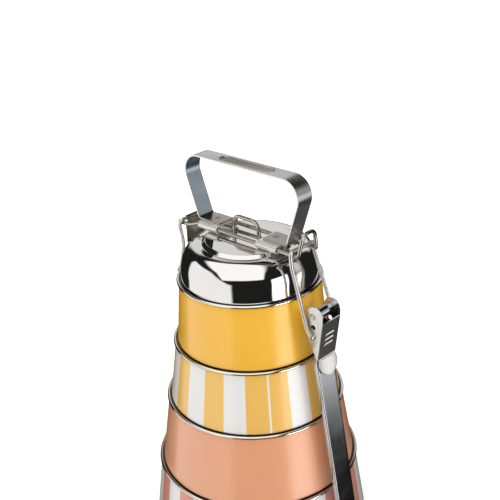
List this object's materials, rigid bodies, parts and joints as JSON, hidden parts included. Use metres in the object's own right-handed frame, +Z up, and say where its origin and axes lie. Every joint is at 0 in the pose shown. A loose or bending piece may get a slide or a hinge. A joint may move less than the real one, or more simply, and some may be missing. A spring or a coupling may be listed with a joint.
{
  "type": "tiffin carrier",
  "caption": "Stacked lunch carrier: bowls that widen downwards, a domed lid, a bail handle on a wire frame, and a strap cradle with a draw latch on one side and a hinged bail on the other.",
  "frame": {"origin": "centre of the base, on the plane the carrier stands on", "axes": "+Z up; X along the handle from strap to strap, +X is the right-hand latch; Y from front to back"},
  "size_m": [0.1966, 0.1704, 0.3021],
  "materials": {
    "steel_satin": "satin",
    "steel_rivet": "satin",
    "steel_strap": "satin brushed",
    "steel_lever": "satin",
    "steel_pin": "satin",
    "steel_wire": "drawn wire",
    "steel_hook": "satin",
    "steel_clip": "satin",
    "steel_handle": "brushed along the strip",
    "polished_lid": "mirror polished",
    "polished_rim": "polished",
    "paint_yellow": "gloss yellow",
    "paint_yellow_white": "gloss, yellow and white stripes",
    "paint_salmon": "gloss salmon",
    "paint_coral_white": "gloss, coral and white stripes"
  },
  "bodies": {
    "cradle": {"base_plate": "steel_satin", "base_rivets": "steel_rivet", "strap_right": "steel_strap", "strap_left": "steel_strap"},
    "lever_right": {"lever_right": "steel_lever", "lever_pin_right": "steel_pin"},
    "bail_right": {"bail_right": "steel_wire"},
    "bail_left": {"bail_left": "steel_wire"},
    "handle_frame": {"frame_wire": "steel_wire", "hook_plate": "steel_hook", "handle_clip_right": "steel_clip", "handle_clip_left": "steel_clip", "handle_strip": "steel_handle"},
    "lid": {"lid_shell": "polished_lid", "lid_loop": "steel_wire"},
    "bowl_1": {"bowl_1_shell": "paint_yellow", "bowl_1_rim": "polished_rim"},
    "bowl_2": {"bowl_2_shell": "paint_yellow_white", "bowl_2_rim": "polished_rim"},
    "bowl_3": {"bowl_3_shell": "paint_salmon", "bowl_3_rim": "polished_rim"},
    "bowl_4": {"bowl_4_shell": "paint_coral_white", "bowl_4_rim": "polished_rim"}
  },
  "joints": [
    {"name": "lever_right_swing", "type": "hinge", "parent": "cradle", "child": "lever_right", "pos_m": [0.068, 0, 0.2075], "axis": [0, -1, 0], "range_deg": [0, 90]},
    {"name": "bail_right_swing", "type": "hinge", "parent": "lever_right", "child": "bail_right", "pos_m": [0.0685, 0, 0.1915], "axis": [0, -1, 0], "range_deg": [-72, 0]},
    {"name": "bail_left_swing", "type": "hinge", "parent": "cradle", "child": "bail_left", "pos_m": [-0.0669, 0, 0.2035], "axis": [0, -1, 0], "range_deg": [0, 150]},
    {"name": "bowl_4_lift", "type": "slide", "parent": "cradle", "child": "bowl_4", "axis": [0, 0, 1], "range_m": [0, 0.01], "deforming": ["bail_right", "bail_left"]},
    {"name": "bowl_3_lift", "type": "slide", "parent": "bowl_4", "child": "bowl_3", "axis": [0, 0, 1], "range_m": [0, 0.01], "deforming": ["bail_right", "bail_left"]},
    {"name": "bowl_2_lift", "type": "slide", "parent": "bowl_3", "child": "bowl_2", "axis": [0, 0, 1], "range_m": [0, 0.01], "deforming": ["bail_right", "bail_left"]},
    {"name": "bowl_1_lift", "type": "slide", "parent": "bowl_2", "child": "bowl_1", "axis": [0, 0, 1], "range_m": [0, 0.012], "deforming": ["bail_right", "bail_left"]},
    {"name": "lid_lift", "type": "slide", "parent": "bowl_1", "child": "lid", "axis": [0, 0, 1], "range_m": [0, 0.03], "deforming": ["bail_right", "bail_left"]},
    {"name": "handle_frame_lift", "type": "slide", "parent": "lid", "child": "handle_frame", "axis": [0, 0, 1], "range_m": [0, 0.04], "deforming": ["bail_right", "bail_left"]}
  ],
  "couplings": [
    {"joint": "bail_right_swing", "follows": "lever_right_swing", "ratio": -0.8}
  ]
}
